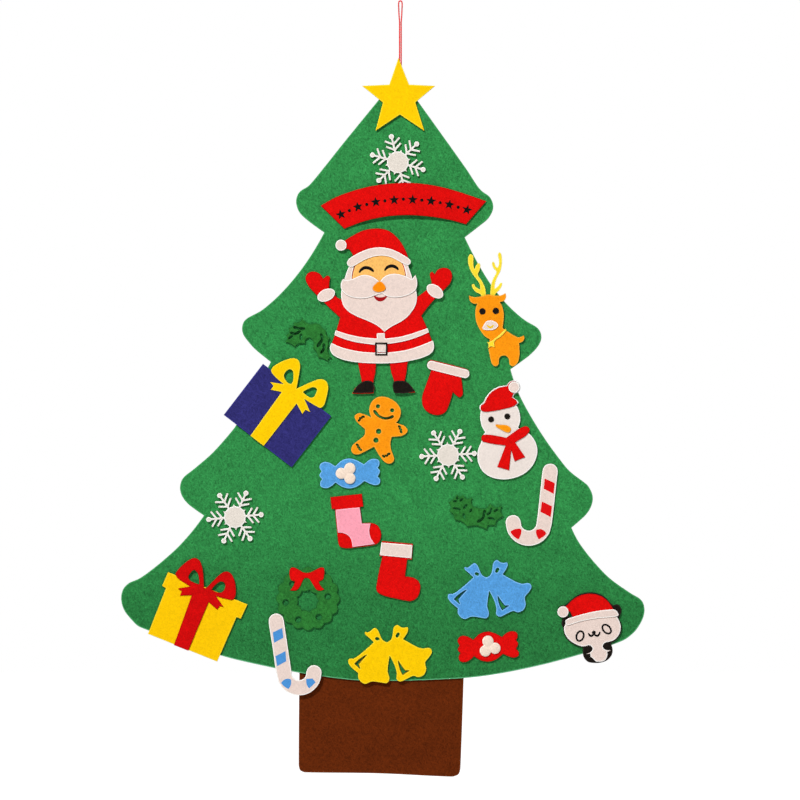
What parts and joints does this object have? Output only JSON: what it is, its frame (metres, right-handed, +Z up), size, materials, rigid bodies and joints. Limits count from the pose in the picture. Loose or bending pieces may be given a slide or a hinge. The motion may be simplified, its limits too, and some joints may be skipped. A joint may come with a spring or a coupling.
{
  "type": "felt christmas tree",
  "caption": "Flat felt Christmas tree on a cord loop for a wall: a green panel on a brown trunk, with layered felt ornaments that hook tape holds on.",
  "frame": {"origin": "inside the top of the cord's loop, where the nail that carries it bears", "axes": "+Z up, +X to the tree's right as seen from the front, +Y into the wall; the ornaments face -Y"},
  "size_m": [0.7001, 0.0143, 1.039],
  "materials": {
    "felt_green": "mottled matt needle-punched felt",
    "felt_dark_green": "matt felt",
    "felt_brown": "matt felt",
    "felt_red": "matt felt",
    "felt_deep_red": "matt felt",
    "felt_white": "matt felt with paler cut edges",
    "felt_snow": "matt felt with paler cut edges",
    "felt_yellow": "matt felt",
    "felt_gold": "matt felt",
    "felt_navy": "matt felt",
    "felt_blue": "matt felt",
    "felt_pink": "matt felt",
    "felt_orange": "matt felt",
    "felt_skin": "matt felt",
    "felt_black": "matt felt",
    "cord_red": "twisted thread"
  },
  "bodies": {
    "hanger": {"hanging_cord": "cord_red", "cord_knot": "cord_red"},
    "tree": {"tree_panel": "felt_green", "trunk": "felt_brown"},
    "star": {"star": "felt_yellow"},
    "snowflake_top": {"snowflake_top": "felt_snow"},
    "snowflake_middle": {"snowflake_middle": "felt_snow"},
    "snowflake_left": {"snowflake_left": "felt_snow"},
    "banner": {"banner": "felt_red"},
    "santa": {"santa_body": "felt_red", "santa_face": "felt_skin", "santa_beard": "felt_white", "santa_moustache": "felt_white", "santa_nose": "felt_orange", "santa_hat_band": "felt_white", "santa_pompom": "felt_white", "santa_cuff_left": "felt_white", "santa_cuff_right": "felt_white", "santa_belt": "felt_white", "santa_hem": "felt_white", "santa_buckle": "felt_black", "santa_boot_left": "felt_black", "santa_boot_right": "felt_black"},
    "reindeer": {"reindeer_body": "felt_orange", "reindeer_antlers": "felt_yellow", "reindeer_muzzle": "felt_white", "reindeer_collar": "felt_yellow"},
    "holly_left": {"holly_left": "felt_dark_green"},
    "holly_right": {"holly_right": "felt_dark_green"},
    "blue_gift": {"blue_gift_box": "felt_navy", "blue_gift_ribbon": "felt_yellow"},
    "yellow_gift": {"yellow_gift_box": "felt_gold", "yellow_gift_ribbon": "felt_deep_red"},
    "gingerbread": {"gingerbread": "felt_orange"},
    "mitten": {"mitten_hand": "felt_red", "mitten_cuff": "felt_white"},
    "snowman": {"snowman_body": "felt_white", "snowman_hat": "felt_red", "snowman_pompom": "felt_white", "snowman_scarf": "felt_red", "snowman_nose": "felt_orange"},
    "blue_candy": {"blue_candy_wrapper": "felt_blue", "blue_candy_dots": "felt_white"},
    "red_candy": {"red_candy_wrapper": "felt_red", "red_candy_dots": "felt_white"},
    "pink_stocking": {"pink_stocking_base": "felt_red", "pink_stocking_leg": "felt_pink"},
    "red_stocking": {"red_stocking_base": "felt_red", "red_stocking_cuff": "felt_white"},
    "red_cane": {"red_cane": "felt_white"},
    "blue_cane": {"blue_cane": "felt_white"},
    "blue_bells": {"blue_bells": "felt_blue"},
    "yellow_bells": {"yellow_bells": "felt_yellow"},
    "wreath": {"wreath_ring": "felt_dark_green", "wreath_bow": "felt_red"},
    "panda": {"panda_base": "felt_black", "panda_head": "felt_white", "panda_hat": "felt_red", "panda_hat_band": "felt_white", "panda_pompom": "felt_white"}
  },
  "joints": [
    {"name": "tree_sway", "type": "hinge", "parent": "hanger", "child": "tree", "pos_m": [0, 0.0011, -0.113], "axis": [0, 1, 0], "range_deg": [-15, 15]},
    {"name": "star_pull", "type": "slide", "parent": "tree", "child": "star", "axis": [0, -1, 0], "range_m": [0, 0.06]},
    {"name": "snowflake_top_pull", "type": "slide", "parent": "tree", "child": "snowflake_top", "axis": [0, -0.1867, 0.9824], "range_m": [0, 0.06]},
    {"name": "snowflake_middle_pull", "type": "slide", "parent": "tree", "child": "snowflake_middle", "axis": [0, -1, 0], "range_m": [0, 0.06]},
    {"name": "snowflake_left_pull", "type": "slide", "parent": "tree", "child": "snowflake_left", "axis": [0, -1, 0], "range_m": [0, 0.06]},
    {"name": "banner_pull", "type": "slide", "parent": "tree", "child": "banner", "axis": [0, -1, 0], "range_m": [0, 0.06]},
    {"name": "santa_pull", "type": "slide", "parent": "tree", "child": "santa", "axis": [0, -1, 0], "range_m": [0, 0.06]},
    {"name": "reindeer_pull", "type": "slide", "parent": "tree", "child": "reindeer", "axis": [0, -1, 0], "range_m": [0, 0.06]},
    {"name": "holly_left_pull", "type": "slide", "parent": "tree", "child": "holly_left", "axis": [0, -1, 0], "range_m": [0, 0.06]},
    {"name": "holly_right_pull", "type": "slide", "parent": "tree", "child": "holly_right", "axis": [0, -1, 0], "range_m": [0, 0.06]},
    {"name": "blue_gift_pull", "type": "slide", "parent": "tree", "child": "blue_gift", "axis": [0, -1, 0], "range_m": [0, 0.06]},
    {"name": "yellow_gift_pull", "type": "slide", "parent": "tree", "child": "yellow_gift", "axis": [0, -1, 0], "range_m": [0, 0.06]},
    {"name": "gingerbread_pull", "type": "slide", "parent": "tree", "child": "gingerbread", "axis": [0, -1, 0], "range_m": [0, 0.06]},
    {"name": "mitten_pull", "type": "slide", "parent": "tree", "child": "mitten", "axis": [0, -1, 0], "range_m": [0, 0.06]},
    {"name": "snowman_pull", "type": "slide", "parent": "tree", "child": "snowman", "axis": [0, -1, 0], "range_m": [0, 0.06]},
    {"name": "blue_candy_pull", "type": "slide", "parent": "tree", "child": "blue_candy", "axis": [0, -1, 0], "range_m": [0, 0.06]},
    {"name": "red_candy_pull", "type": "slide", "parent": "tree", "child": "red_candy", "axis": [0, -1, 0], "range_m": [0, 0.06]},
    {"name": "pink_stocking_pull", "type": "slide", "parent": "tree", "child": "pink_stocking", "axis": [0, -1, 0], "range_m": [0, 0.06]},
    {"name": "red_stocking_pull", "type": "slide", "parent": "tree", "child": "red_stocking", "axis": [0, -1, 0], "range_m": [0, 0.06]},
    {"name": "red_cane_pull", "type": "slide", "parent": "tree", "child": "red_cane", "axis": [0, -1, 0], "range_m": [0, 0.06]},
    {"name": "blue_cane_pull", "type": "slide", "parent": "tree", "child": "blue_cane", "axis": [0, -1, 0], "range_m": [0, 0.06]},
    {"name": "blue_bells_pull", "type": "slide", "parent": "tree", "child": "blue_bells", "axis": [0, -1, 0], "range_m": [0, 0.06]},
    {"name": "yellow_bells_pull", "type": "slide", "parent": "tree", "child": "yellow_bells", "axis": [0, -1, 0], "range_m": [0, 0.06]},
    {"name": "wreath_pull", "type": "slide", "parent": "tree", "child": "wreath", "axis": [0, -1, 0], "range_m": [0, 0.06]},
    {"name": "panda_pull", "type": "slide", "parent": "tree", "child": "panda", "axis": [0, -1, 0], "range_m": [0, 0.06]}
  ]
}
